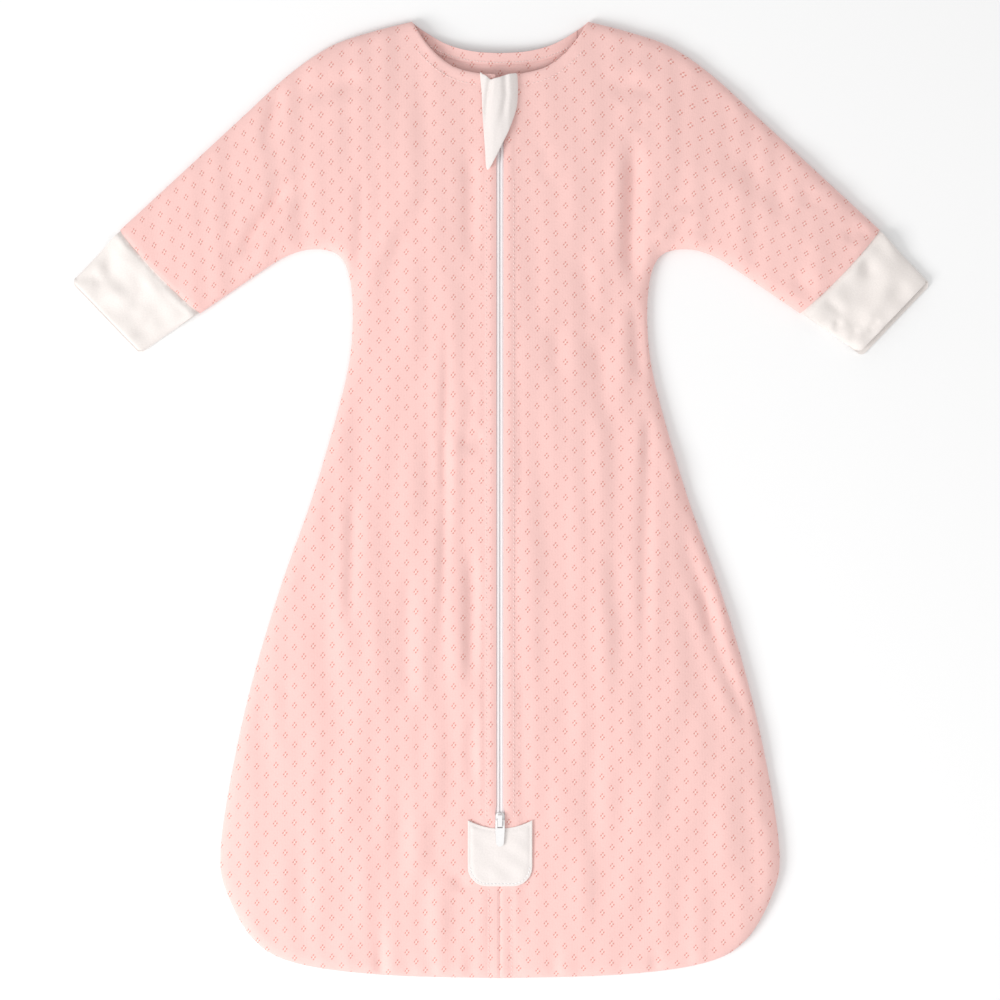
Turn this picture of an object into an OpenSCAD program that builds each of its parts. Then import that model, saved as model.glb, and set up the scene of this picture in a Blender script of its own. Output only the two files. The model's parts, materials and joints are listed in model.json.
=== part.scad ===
// Baby sleeping bag with cut-on sleeves, lying flat on its back.
// X runs across the bag, +Y towards the neck and +Z out of the front.
// The origin is on the surface below, under the middle of the bag.
// Left and right are as seen from the front.

/* [Bag] */
// Length from the shoulder points to the hem
body_length = 700; // [670:5:730]
// Widest width, near the hem
hem_width = 410; // [390:5:430]
// Thickness of the knitted cloth
cloth = 1; // [0.8:0.1:1.1]
// Room between the back and the front of the bag
bag_loft = 12; // [11:0.5:14]
// Width of the seam allowance inside the edges
seam_width = 4; // [3:0.5:6]

/* [Sleeves and cuffs] */
// Room inside a sleeve
sleeve_loft = 8; // [7:0.5:9]
// Room inside a cuff
cuff_loft = 6; // [5:0.5:6]
// Length of a cuff beyond its seam
cuff_length = 51; // [45:1:58]
// Rounding of a cuff's outer corners
cuff_rounding = 4; // [2:0.5:6]

/* [Zip] */
// Width of one zip tape
tape_width = 12.5; // [11:0.5:14]
// Thickness of the zip tape
tape_thick = 0.6; // [0.5:0.05:0.6]
// Radius of one coil of teeth
coil_radius = 0.95; // [0.9:0.05:1]
// Half width of the slot between the folded cloth edges
slot_half = 3.6; // [3.6:0.1:5]
// Length of the slider body
slider_length = 11; // [10:0.5:11]
// Width of the slider body
slider_width = 6.6; // [6.4:0.1:6.6]
// Length of the pull tab from its hinge bar
tab_length = 19.5; // [18:0.5:24]
// Thickness of the pull tab
tab_thick = 1.2; // [1:0.1:1.3]

/* [Opening front] */
// Distance of each fold line from the zip
fold_x = 60; // [50:1:70]
// Half length of the part of each front that folds back
fold_half = 150; // [130:5:160]

/* [Chin guard and zip patch] */
// Height of the arch of the chin guard above the front
guard_rise = 4; // [3.9:0.1:6]
// Width of the zip patch
patch_width = 47; // [42:1:52]
// Height of the zip patch at its corners
patch_height = 48; // [42:1:54]
// Rounding of the lower corners of the zip patch
patch_rounding = 14; // [10:1:18]

/* [Hidden] */

pink = "lightpink";
deep_pink = "pink";
ivory = "ivory";
white = "white";
silver = "silver";

gap = 0.3;              // clearance between pieces that move apart
thread = 0.3;           // height of a row of stitches above the cloth
thread_width = 0.7;
facing_width = 9;
placket_stitch_x = 10;  // the row of stitches beside the zip
seam_stitch_x = 8;      // the row of stitches beside the centre seam
stitch_inset = 1.8;     // from an edge to its row of stitches

// The outline is drawn for a bag of 700 by 410 mm, and stretched to the chosen size.
drawn_length = 700;
drawn_width = 410;
function fit(points) = [for (p = points) [p[0] * hem_width / drawn_width, p[1] * body_length / drawn_length]];
function fit_y(y) = y * body_length / drawn_length;

// Heights, from the surface below upwards
front_z = cloth + bag_loft;
front_top = front_z + cloth;
sleeve_z = cloth + sleeve_loft;
sleeve_top = sleeve_z + cloth;
cuff_z = cloth + cuff_loft;
tape_z = front_z - tape_thick;
coil_z = tape_z - coil_radius - 0.05;
coil_x = coil_radius + 0.4;
rib_radius = 0.9;
slider_gap = 0.2;       // between the slider and the zip inside it
slider_top_z = tape_z + rib_radius + slider_gap;
slider_plate = 0.9;
slider_inner = 2.5;     // half the room for the coils between its rims
crown_z = slider_top_z + slider_plate;
bar_radius = 0.6;
bar_z = crown_z + 1.5;
crown_height = 3.3;
crown_width = 3.2;
crown_length = 9;
crown_rounding = 1.2;
tab_width = 6.8;
patch_thick = 0.8;

// Right half of the outline: the shoulder and top of the sleeve, from the neck out to the cuff
shoulder_points = fit([
    [64.5, 350], [94, 342.5], [125, 331.5], [156, 310], [192, 277], [239, 233.5], [278, 197.5]
]);
// The underside of the sleeve, from the cuff in to the armpit, and the side down to the hem
side_points = fit([
    [219.5, 136.5], [175, 167], [156, 178.5], [136.5, 183.5], [118, 179], [109.5, 160], [108, 124], [114, 83],
    [136, 6], [160, -62], [180, -128], [195, -193], [204.5, -256], [200, -287], [180, -322], [149, -339],
    [86, -347.5], [0, -350]
]);
front_neck_points = fit([[0, 309.5], [16, 311], [35, 316.5], [52, 331], [64.5, 350]]);
back_neck_points = fit([[0, 326.5], [20, 328], [38, 333], [53, 341.5], [64.5, 350]]);
// The line across the top of the sleeve where it bends up from the body
armhole_low = fit([[125, 182.5]])[0];
armhole_high = fit([[165, 302]])[0];
cuff_seam_low = side_points[0];
cuff_seam_high = shoulder_points[len(shoulder_points) - 1];

zip_top = front_neck_points[0][1] - 1.5;
slit_bottom = fit_y(-245);
slider_y = fit_y(-233);
coil_bottom = slider_y - 9;
coil_top = zip_top - 9;
tape_bottom = slit_bottom - 16;
patch_top = fit_y(-233);
patch_bottom = patch_top - patch_height;
patch_dip = 6;
guard_top = front_neck_points[0][1] + 2;
// Outline of the guard in plan: x from the zip, and y from its top edge downwards
guard_points = [
    [-15, 0], [12, 0], [13, -16], [9.5, -34], [2, -52], [-3.5, -63.5], [-9.3, -71], [-12, -48], [-14, -18]
];
guard_left = -15.5;
guard_right = 14;
guard_hem = 4.5;        // flat strip along its sewn edge
guard_reach = 80;       // more than its length
lean = 0.4;             // its sloping sides are kept as thick as the rest
guard_slope = 5;        // width of the sloping side of its arch
guard_crown = 13;       // width of the flat top of its arch

far = 500;      // larger than any part of the bag
curve_steps = 5;
arc_steps = 6;
sleeve_drop = 75;    // from the armhole down to below the lowest corner of the sleeve

function unit(v) = v / norm(v);
function turned(v) = [-v[1], v[0]];
function reverse(p) = [for (i = [len(p) - 1 : -1 : 0]) p[i]];
function bent(a, b, c, d, t) =
    0.5 * (2 * b + (c - a) * t + (2 * a - 5 * b + 4 * c - d) * t * t + (3 * b - a - 3 * c + d) * t * t * t);
// A smooth curve through the points
function curve(p) = concat(
    [for (i = [0 : len(p) - 2]) for (k = [0 : curve_steps - 1])
        bent(p[max(i - 1, 0)], p[i], p[i + 1], p[min(i + 2, len(p) - 1)], k / curve_steps)],
    [p[len(p) - 1]]);
function flipped(p) = [for (q = p) [-q[0], q[1]]];
// A line that starts on the centre, with its mirror image before it
function mirror_line(p) = concat(reverse(flipped(p)), [for (i = [1 : len(p) - 1]) p[i]]);
// Points along an arc, from one angle to another
function arc(centre, r, from, to) = [
    for (k = [0 : arc_steps])
        let (angle = from + (to - from) * k / arc_steps)
        centre + r * [cos(angle), sin(angle)]
];
function heading(p, i) = unit(p[min(i + 1, len(p) - 1)] - p[max(i - 1, 0)]);
// The same line, moved sideways to the right of its direction
function beside(p, d) = [for (i = [0 : len(p) - 1]) p[i] - d * turned(heading(p, i))];

shoulder = curve(shoulder_points);
side = curve(side_points);
front_neck = curve(front_neck_points);
back_neck = curve(back_neck_points);

module slab(low, high) translate([0, 0, low]) linear_extrude(high - low) children();
module mirrored(left) mirror([left ? 1 : 0, 0, 0]) children();
// A strip along an edge line, from one distance inside it to another
module strip(line, from, to) polygon(concat(beside(line, from), reverse(beside(line, to))));

// All that lies beyond the armhole line, in plan: the sleeve, and more by a margin
module beyond_armhole(margin) {
    past_top = armhole_low + 2 * (armhole_high - armhole_low);
    translate([-margin, 0]) polygon([
        armhole_low, past_top, [far, far], [far, armhole_low[1] - sleeve_drop], armhole_low - [0, sleeve_drop]
    ]);
}
module on_body() difference() {
    children();
    beyond_armhole(gap / 2);
}
module on_sleeve() intersection() {
    children();
    beyond_armhole(-gap / 2);
}

// The whole bag in plan, and its right half alone
module plan(neck) {
    edge = concat(shoulder, side);
    polygon(concat(mirror_line(neck), edge, reverse(flipped(edge))));
}
module right_half() intersection() {
    children();
    translate([gap / 2, -far]) square([far, 2 * far]);
}

module fold_region(grow)
    translate([-1, -fold_half - grow]) square([fold_x + 1 + grow, 2 * (fold_half + grow)]);

module back_panel() color(pink) slab(0, cloth) difference() {
    plan(back_neck);
    for (left = [false, true]) mirror([left ? 1 : 0, 0]) beyond_armhole(gap / 2);
}

module front_panel(left) color(pink) mirrored(left) slab(front_z, front_top) on_body() difference() {
    right_half() plan(front_neck);
    translate([-1, slit_bottom]) square([1 + slot_half, 2 * far]);
    fold_region(gap);
}
module front_left_panel() front_panel(true);
module front_right_panel() front_panel(false);

module side_seam(left) color(deep_pink) mirrored(left) slab(cloth, front_z) on_body() right_half()
    strip(side, 0, seam_width);
module left_side_seam() side_seam(true);
module right_side_seam() side_seam(false);

facing_end = front_neck_points[4][0] - 8;
module shoulder_seam(left) color(deep_pink) mirrored(left) slab(cloth, front_z) on_body() intersection() {
    strip(shoulder, 0, seam_width);
    translate([facing_end + 1, 0]) square([far, far]);
}
module left_shoulder_seam() shoulder_seam(true);
module right_shoulder_seam() shoulder_seam(false);

// Allowance of the seam that joins the two fronts below the zip, and the rows of stitches beside it
module centre_seam() color(deep_pink) slab(front_z - cloth, front_z)
    translate([-seam_width, -body_length / 2 + seam_width + 1])
        square([2 * seam_width, tape_bottom - 1 + body_length / 2 - seam_width - 1]);
module centre_stitching() color(pink) slab(front_top, front_top + thread) pair()
    translate([seam_stitch_x, stitch_inset - body_length / 2])
        square([thread_width, patch_bottom - 1 + body_length / 2 - stitch_inset]);

module neck_facing(left) color(pink) mirrored(left) slab(front_z - cloth, front_z) intersection() {
    strip(front_neck, 0, facing_width);
    translate([tape_width + 0.5, 0]) square([facing_end - tape_width - 0.5, far]);
}
module left_neck_facing() neck_facing(true);
module right_neck_facing() neck_facing(false);
module back_neck_facing() color(pink) slab(cloth, 2 * cloth) intersection() {
    strip(mirror_line(back_neck), 0, facing_width);
    translate([-facing_end, 0]) square([2 * facing_end, far]);
}

module neck_stitching(left) color(pink) mirrored(left) slab(front_top, front_top + thread) intersection() {
    strip(front_neck, facing_width - thread_width, facing_width);
    translate([guard_points[2][0] + 4, 0]) square([facing_end - guard_points[2][0] - 4, far]);
}
module left_neck_stitching() neck_stitching(true);
module right_neck_stitching() neck_stitching(false);

// A round bar that lies along the bag, from one height on it to another
module bar_along(x, z, radius, low, high)
    translate([x, low, z]) rotate([-90, 0, 0]) cylinder(r = radius, h = high - low, $fn = 32);
// One zip tape, with the rounded rib along its inner edge, which stops where the fronts close
module tape(low, high) color(white) {
    inner = coil_x - rib_radius;
    rib_low = max(low, slit_bottom + gap);
    translate([inner, low, tape_z]) cube([tape_width - inner, high - low, tape_thick]);
    intersection() {
        bar_along(coil_x, tape_z, rib_radius, rib_low, high);
        translate([0, low, tape_z]) cube([far, high - low, far]);
    }
}
module coil(low, high) color(white) bar_along(coil_x, coil_z, coil_radius, low, high);
module placket_row(low, high) color(pink)
    translate([placket_stitch_x, low, front_top]) cube([thread_width, high - low, thread]);

module pair() for (left = [false, true]) mirrored(left) children();
module zip_tape_upper_ends() pair() tape(fold_half + gap, zip_top);
module zip_tape_lower_ends() pair() tape(tape_bottom, -fold_half - gap);
module zip_coil_upper_ends() pair() coil(fold_half + gap, coil_top);
module zip_coil_lower_ends() pair() coil(coil_bottom, -fold_half - gap);
module placket_stitching_ends() pair() {
    placket_row(patch_top + 2, -fold_half - gap);
    placket_row(fold_half + gap, guard_top - 78);
}

stop_length = 2.5;
bottom_stop_width = 5.2;
module zip_top_stops() color(white) pair()
    translate([coil_x - rib_radius, coil_top, coil_z - coil_radius])
        cube([2 * coil_radius, stop_length, 2 * coil_radius]);
module zip_bottom_stop() color(white)
    translate([-bottom_stop_width / 2, coil_bottom - stop_length, coil_z - coil_radius])
        cube([bottom_stop_width, stop_length, 2 * coil_radius]);

// The part of a front that folds back when the zip is open
module flap_panel(left) color(pink) mirrored(left) slab(front_z, front_top)
    translate([slot_half, -fold_half]) square([fold_x - slot_half - gap, 2 * fold_half]);
module left_flap_panel() flap_panel(true);
module right_flap_panel() flap_panel(false);
module left_zip_tape() mirrored(true) tape(-fold_half, fold_half);
module right_zip_tape() tape(-fold_half, fold_half);
module left_zip_coil() mirrored(true) coil(-fold_half, fold_half);
module right_zip_coil() coil(-fold_half, fold_half);
module left_placket_stitching() mirrored(true) placket_row(-fold_half, fold_half);
module right_placket_stitching() placket_row(-fold_half, fold_half);

// Slider: two plates joined by a thin post that runs between the coils
module slider_plan(half_width) polygon([
    [-half_width * 0.8, -slider_length / 2], [half_width * 0.8, -slider_length / 2],
    [half_width, -slider_length / 6], [half_width, slider_length / 3],
    [half_width * 0.7, slider_length / 2], [-half_width * 0.7, slider_length / 2],
    [-half_width, slider_length / 3], [-half_width, -slider_length / 6]
]);
module slider_rim(low, high, inner) slab(low, high) difference() {
    slider_plan(slider_width / 2);
    square([2 * inner, 2 * slider_length], center = true);
}
post_width = 0.5;
post_length = 3.5;
sunk = 0.1;             // the rims and the post go this far into the plates
module slider_body() color(silver) translate([0, slider_y, 0]) {
    lower = coil_z - coil_radius - slider_gap;
    slab(slider_top_z, crown_z) slider_plan(slider_width / 2);
    slab(lower - slider_plate, lower) slider_plan(slider_width / 2);
    slider_rim(tape_z + tape_thick + slider_gap, slider_top_z + sunk, slider_inner);
    slider_rim(lower - sunk, tape_z - gap, slider_inner);
    translate([-post_width / 2, -slider_length / 2, lower - sunk])
        cube([post_width, post_length, slider_top_z - lower + 2 * sunk]);
}
eye_radius = bar_radius + gap;
eye_half = 1.4;         // half the length of the eye's straight part
// A round bar that lies across the slider
module bar_across(y, z, radius, width)
    translate([-width / 2, y, z]) rotate([0, 90, 0]) cylinder(r = radius, h = width, $fn = 32);
// The crown is a bridge with rounded shoulders and an eye through it for the tab's bar
module slider_crown() color(silver) translate([0, slider_y, crown_z]) difference() {
    shoulder_y = crown_length / 2 - crown_rounding;
    shoulder_z = crown_height - crown_rounding;
    union() {
        for (end = [-1, 1]) bar_across(end * shoulder_y, shoulder_z, crown_rounding, crown_width);
        translate([-crown_width / 2, -crown_length / 2, 0]) cube([crown_width, crown_length, shoulder_z]);
        translate([-crown_width / 2, -shoulder_y, 0]) cube([crown_width, 2 * shoulder_y, crown_height]);
    }
    for (end = [-1, 1]) bar_across(end * eye_half, bar_z - crown_z, eye_radius, 2 * crown_width);
    translate([-crown_width, -eye_half, bar_z - crown_z - eye_radius])
        cube([2 * crown_width, 2 * eye_half, 2 * eye_radius]);
}
// The tab hangs on a round bar that passes through the eye of the crown
tab_taper = 0.6;        // narrower by this much on each side at its round end
tab_straight = 7;
module pull_tab() color(silver) translate([0, slider_y, bar_z]) {
    half = tab_width / 2;
    end_half = half - tab_taper;
    end_y = half - tab_length;
    slot = crown_width / 2 + gap;
    bar_across(0, 0, bar_radius, tab_width);
    slab(-tab_thick / 2, tab_thick / 2) difference() {
        union() {
            polygon([
                [-half, 0], [half, 0], [half, -tab_straight],
                [end_half, end_y], [-end_half, end_y], [-half, -tab_straight]
            ]);
            translate([0, end_y]) circle(r = end_half, $fn = 48);
        }
        translate([-slot, -crown_length / 2 - 1]) square([2 * slot, crown_length / 2 + 2]);
    }
}

// Patch over the lower end of the zip, open along its dipped top edge
module patch_plan(inset) {
    half = patch_width / 2 - inset;
    steps = 8;
    top = [for (i = [-steps : steps]) [half * i / steps, patch_top - patch_dip * (1 - pow(i / steps, 2))]];
    corner = arc([half - patch_rounding, patch_bottom + inset + patch_rounding], patch_rounding, 0, -90);
    polygon(concat(top, corner, reverse(flipped(corner))));
}
module zip_patch() color(ivory) slab(front_top, front_top + patch_thick) patch_plan(0);
module zip_patch_stitching() color(white) slab(front_top + patch_thick, front_top + patch_thick + thread)
    difference() {
        patch_plan(stitch_inset);
        patch_plan(stitch_inset + thread_width);
        translate([-far, patch_top - patch_dip - 2]) square([2 * far, far]);
    }

// Guard over the top of the zip: an arch with room for the slider under it
module chin_guard() color(ivory) intersection() {
    crown_left = guard_left + guard_slope + guard_hem;
    crown_right = crown_left + guard_crown;
    foot = front_top + gap;
    arch = front_top + guard_rise;
    translate([0, guard_top, 0]) rotate([90, 0, 0]) linear_extrude(guard_reach) polygon([
        [guard_left, foot], [guard_left + guard_hem, foot], [crown_left, arch], [crown_right, arch],
        [guard_right, foot], [guard_right, foot + cloth],
        [crown_right + lean, arch + cloth], [crown_left - lean, arch + cloth],
        [guard_left + guard_hem - lean, foot + cloth], [guard_left, foot + cloth]
    ]);
    slab(0, far / 2) translate([0, guard_top]) polygon(guard_points);
}

module sleeve_front(left) color(pink) mirrored(left) slab(sleeve_z, sleeve_top) on_sleeve() plan(front_neck);
module sleeve_back(left) color(pink) mirrored(left) slab(0, cloth) on_sleeve() plan(back_neck);
module sleeve_upper_seam(left) color(deep_pink) mirrored(left)
    slab(cloth, sleeve_z) on_sleeve() strip(shoulder, 0, seam_width);
module sleeve_under_seam(left) color(deep_pink) mirrored(left)
    slab(cloth, sleeve_z) on_sleeve() strip(side, 0, seam_width);
module left_sleeve_front() sleeve_front(true);
module right_sleeve_front() sleeve_front(false);
module left_sleeve_back() sleeve_back(true);
module right_sleeve_back() sleeve_back(false);
module left_sleeve_upper_seam() sleeve_upper_seam(true);
module right_sleeve_upper_seam() sleeve_upper_seam(false);
module left_sleeve_under_seam() sleeve_under_seam(true);
module right_sleeve_under_seam() sleeve_under_seam(false);

// Cuff, in its own frame: across the sleeve along x from the middle of the seam, and outwards along y
cuff_angle = atan2(cuff_seam_high[1] - cuff_seam_low[1], cuff_seam_high[0] - cuff_seam_low[0]);
cuff_half = norm(cuff_seam_high - cuff_seam_low) / 2 - 0.8;
cuff_end_low = cuff_half - 8;        // from the cuff's middle line to its mouth's lower corner
cuff_end_high = cuff_half - 1.8;     // and to the upper one
cuff_seam_width = 3;
module at_cuff() {
    middle = (cuff_seam_high + cuff_seam_low) / 2;
    translate([middle[0], middle[1], 0]) rotate(cuff_angle + 180) children();
}
module cuff_plan() {
    low_corner = arc([cuff_end_low - cuff_rounding, cuff_length - cuff_rounding], cuff_rounding, 0, 90);
    high_corner = arc([cuff_end_high - cuff_rounding, cuff_length - cuff_rounding], cuff_rounding, 0, 90);
    polygon(concat([[-cuff_half, gap], [cuff_half, gap]], low_corner, reverse(flipped(high_corner))));
}
module cuff_sheet(left, low) color(ivory) mirrored(left) at_cuff() slab(low, low + cloth) cuff_plan();
module cuff_seams(left) color(ivory) mirrored(left) at_cuff() slab(cloth, cuff_z) difference() {
    cuff_plan();
    polygon([
        [cuff_seam_width - cuff_half, -1], [cuff_half - cuff_seam_width, -1],
        [cuff_end_low - cuff_seam_width, cuff_length + 1], [cuff_seam_width - cuff_end_high, cuff_length + 1]
    ]);
}
module left_cuff_front() cuff_sheet(true, cuff_z);
module right_cuff_front() cuff_sheet(false, cuff_z);
module left_cuff_back() cuff_sheet(true, 0);
module right_cuff_back() cuff_sheet(false, 0);
module left_cuff_seams() cuff_seams(true);
module right_cuff_seams() cuff_seams(false);

back_panel();
front_left_panel();
front_right_panel();
left_side_seam();
right_side_seam();
left_shoulder_seam();
right_shoulder_seam();
centre_seam();
centre_stitching();
back_neck_facing();
left_neck_facing();
right_neck_facing();
zip_tape_upper_ends();
zip_tape_lower_ends();
zip_coil_upper_ends();
zip_coil_lower_ends();
zip_top_stops();
zip_bottom_stop();
zip_patch();
zip_patch_stitching();
placket_stitching_ends();
left_neck_stitching();
right_neck_stitching();
left_flap_panel();
left_zip_tape();
left_zip_coil();
left_placket_stitching();
right_flap_panel();
right_zip_tape();
right_zip_coil();
right_placket_stitching();
slider_body();
slider_crown();
pull_tab();
chin_guard();
left_sleeve_front();
left_sleeve_back();
left_sleeve_upper_seam();
left_sleeve_under_seam();
right_sleeve_front();
right_sleeve_back();
right_sleeve_upper_seam();
right_sleeve_under_seam();
left_cuff_front();
left_cuff_back();
left_cuff_seams();
right_cuff_front();
right_cuff_back();
right_cuff_seams();
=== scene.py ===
"""Baby sleeping bag of openwork knit: cloth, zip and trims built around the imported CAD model."""

import json
import math
from functools import partial

import bpy
import numpy as np
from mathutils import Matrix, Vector
from mathutils.geometry import delaunay_2d_cdt


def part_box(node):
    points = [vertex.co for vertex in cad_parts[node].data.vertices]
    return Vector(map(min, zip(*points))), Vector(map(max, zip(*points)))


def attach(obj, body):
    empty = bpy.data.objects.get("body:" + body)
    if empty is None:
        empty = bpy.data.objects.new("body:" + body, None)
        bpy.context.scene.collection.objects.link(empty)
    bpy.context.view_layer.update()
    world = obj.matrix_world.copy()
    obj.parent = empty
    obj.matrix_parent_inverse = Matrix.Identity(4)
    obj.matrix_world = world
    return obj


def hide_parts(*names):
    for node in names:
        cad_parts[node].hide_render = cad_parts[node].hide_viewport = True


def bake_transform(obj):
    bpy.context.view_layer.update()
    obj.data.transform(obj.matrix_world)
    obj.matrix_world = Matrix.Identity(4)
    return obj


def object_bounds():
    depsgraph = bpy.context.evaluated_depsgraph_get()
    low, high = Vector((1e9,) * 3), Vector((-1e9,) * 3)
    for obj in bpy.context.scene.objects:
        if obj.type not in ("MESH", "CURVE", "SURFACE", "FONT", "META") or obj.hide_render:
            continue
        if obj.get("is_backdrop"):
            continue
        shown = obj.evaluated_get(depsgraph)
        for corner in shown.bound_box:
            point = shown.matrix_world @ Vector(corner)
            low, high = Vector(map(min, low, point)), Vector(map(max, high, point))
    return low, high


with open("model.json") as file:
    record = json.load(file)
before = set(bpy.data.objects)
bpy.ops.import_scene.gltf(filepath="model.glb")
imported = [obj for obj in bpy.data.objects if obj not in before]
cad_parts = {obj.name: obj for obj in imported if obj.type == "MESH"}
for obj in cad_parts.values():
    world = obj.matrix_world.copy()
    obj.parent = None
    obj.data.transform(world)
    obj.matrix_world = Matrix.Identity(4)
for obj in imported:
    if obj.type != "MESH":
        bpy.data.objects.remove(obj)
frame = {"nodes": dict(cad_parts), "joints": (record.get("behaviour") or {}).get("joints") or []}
cad_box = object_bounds()
MM = 0.001
FLAT = 0.01 * MM        # heights closer than this are the same
SIDES = {"left": -1, "right": 1}


# ---------------- lines in plan

def span(node):
    """The lowest and the highest y of a node."""
    low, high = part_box(node)
    return low.y, high.y


def outline(node):
    """The node's outline in plan, in order, taken from the flat face at its foot."""
    mesh = frame["nodes"][node].data
    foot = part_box(node)[0].z
    edges = set()
    for face in mesh.polygons:
        corners = [mesh.vertices[i].co for i in face.vertices]
        if all(abs(corner.z - foot) < FLAT for corner in corners):
            ring = [(round(corner.x, 6), round(corner.y, 6)) for corner in corners]
            edges.update(zip(ring, ring[1:] + ring[:1]))
    after = {a: b for a, b in edges if (b, a) not in edges}
    loop = [max(after, key=lambda p: (p[1], p[0]))]
    while len(loop) < len(after) and after[loop[-1]] != loop[0]:
        loop.append(after[loop[-1]])
    return np.array(loop)


def divided(line, step, closed=True):
    """The line's own points with more between them, at most a step apart."""
    ends = np.roll(line, -1, 0) if closed else line[1:]
    points = []
    for a, b in zip(line, ends):
        parts = max(1, math.ceil(np.linalg.norm(b - a) / step))
        points += [a + (b - a) * k / parts for k in range(parts)]
    return np.array(points if closed else points + [line[-1]])


def distance(points, starts, ends):
    """From each point to the nearest of the segments."""
    nearest = np.full(len(points), np.inf)
    for a, b in zip(starts, ends):
        d = b - a
        t = np.clip(((points - a) @ d) / max(d @ d, 1e-18), 0, 1)
        nearest = np.minimum(nearest, np.hypot(*(points - a - t[:, None] * d).T))
    return nearest


def signed_area(loop):
    """Above 0 if the loop runs anticlockwise."""
    x, y = loop.T
    return 0.5 * np.sum(x * np.roll(y, -1) - y * np.roll(x, -1))


def inside(points, loop):
    """True for each point that lies inside the closed loop."""
    x, y = points.T
    odd = np.zeros(len(points), bool)
    for (ax, ay), (bx, by) in zip(loop, np.roll(loop, -1, 0)):
        if ay != by:
            odd ^= ((ay > y) != (by > y)) & (x < (bx - ax) * (y - ay) / (by - ay) + ax)
    return odd


def smooth(t):
    """From 0 to 1 as t goes from 0 to 1, level at both ends."""
    t = np.clip(t, 0, 1)
    return t * t * (3 - 2 * t)


# ---------------- the pattern of the bag

joints = {j["name"]: j for j in frame["joints"]}


def joint_line(name):
    """A joint's axis in plan: a point on it and its direction."""
    joint = joints[name]
    direction = np.array(joint["axis"][:2], float)
    return np.array(joint["pos_m"][:2], float), direction / np.linalg.norm(direction)


def beyond(points, name):
    """How far each point lies past a joint's axis, away from the middle of the bag."""
    start, direction = joint_line(name)
    across = np.array([-direction[1], direction[0]])
    across *= np.sign(start @ across)
    return (points - start) @ across


def past_cuff(points, side):
    """How far each point lies past the straight fold line of a cuff."""
    return beyond(points, f"{side}_cuff_fold")


NEAR = 0.6 * MM         # points closer than this to a line are on it
NECK_Y = 0.3            # on the body, only the neck and shoulders lie above this
ARM_Y = 0.12            # the armhole and cuff lines lie above this
UNDERARM = 20 * MM      # the armhole line starts at least this far above the sleeve's lowest point
SLEEVE_X, SLEEVE_Y = 0.2, 0.1   # out past and above these there are only sleeves and cuffs
FAR = 1.0               # stands for a distance at which nothing has any effect


def joined(loop, side):
    """The loop with the points beside the armhole line moved onto it, so that body and sleeve meet."""
    start, direction = joint_line(f"{side}_sleeve_lift")
    loop = loop.copy()
    at_line = np.abs(beyond(loop, f"{side}_sleeve_lift")) < NEAR
    at_line &= (loop[:, 1] > span(f"{side}_sleeve_back")[0] + UNDERARM)
    at_line &= np.sign(loop[:, 0]) == SIDES[side]
    for i in np.flatnonzero(at_line):
        loop[i] = start + direction * ((loop[i] - start) @ direction)
    return loop, at_line


body_loop = outline("back_panel")
sleeve_loops = {side: outline(f"{side}_sleeve_back") for side in SIDES}
cuff_loops = {side: outline(f"{side}_cuff_back") for side in SIDES}
body_at_line = {}
for side in SIDES:
    body_loop, body_at_line[side] = joined(body_loop, side)
    sleeve_loop, at_line = joined(sleeve_loops[side], side)
    shared = body_loop[body_at_line[side]]
    for i in np.flatnonzero(at_line):
        sleeve_loop[i] = shared[np.argmin(np.hypot(*(shared - sleeve_loop[i]).T))]
    sleeve_loops[side] = sleeve_loop

neck_corner = body_loop[np.argmax(body_loop[:, 1] + 1e-3 * body_loop[:, 0])]


def on_joint_line(a, b):
    """True for an edge that lies along an armhole or a cuff's fold line."""
    for side in SIDES:
        for joint in ("sleeve_lift", "cuff_fold"):
            away = np.abs(beyond(np.array([a, b]), f"{side}_{joint}"))
            if away.max() < NEAR and np.sign(a[0]) == SIDES[side] and a[1] > ARM_Y:
                return True
    return False


seam_starts, seam_ends = [], []
for loop in (body_loop, *sleeve_loops.values()):
    for a, b in zip(loop, np.roll(loop, -1, 0)):
        in_neck = max(abs(a[0]), abs(b[0])) < neck_corner[0] + NEAR and min(a[1], b[1]) > NECK_Y
        if not in_neck and not on_joint_line(a, b):
            seam_starts.append(a)
            seam_ends.append(b)

cloth_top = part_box("front_right_panel")[1].z
neck_points = [p for p in outline("front_right_panel") if p[1] > NECK_Y and p[0] < neck_corner[0] + FLAT]
neck_points = np.array(sorted(map(tuple, neck_points)))
back_neck_points = [p for p in body_loop if p[1] > NECK_Y and 0 <= p[0] <= neck_corner[0]]
back_neck_points = np.array(sorted(map(tuple, back_neck_points)))


# How the knit lies. Its rows fall outwards by this slope on the body, and by this much more on the sleeves,
# where its columns lean too.
ROW_SLOPE = {"left": 0.06, "right": 0.17}
SLEEVE_SLOPE = {"left": 0.22, "right": 0.21}
COLUMN_LEAN = {"left": 0.12, "right": 0.24}
CENTRE_SOFT = 0.02      # the rows turn from one slope to the other over this distance from the middle
SLEEVE_START = 0.13     # the rows steepen from here outwards, over the next distance
SLEEVE_SOFT = 0.03
LEAN_START, LEAN_LENGTH = 0.11, 0.07            # the columns start to lean here, across the bag
ARM_START, ARM_LENGTH = 0.06, 0.12              # and the arms start here, along it
SHOULDER_Y = 0.24


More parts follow.
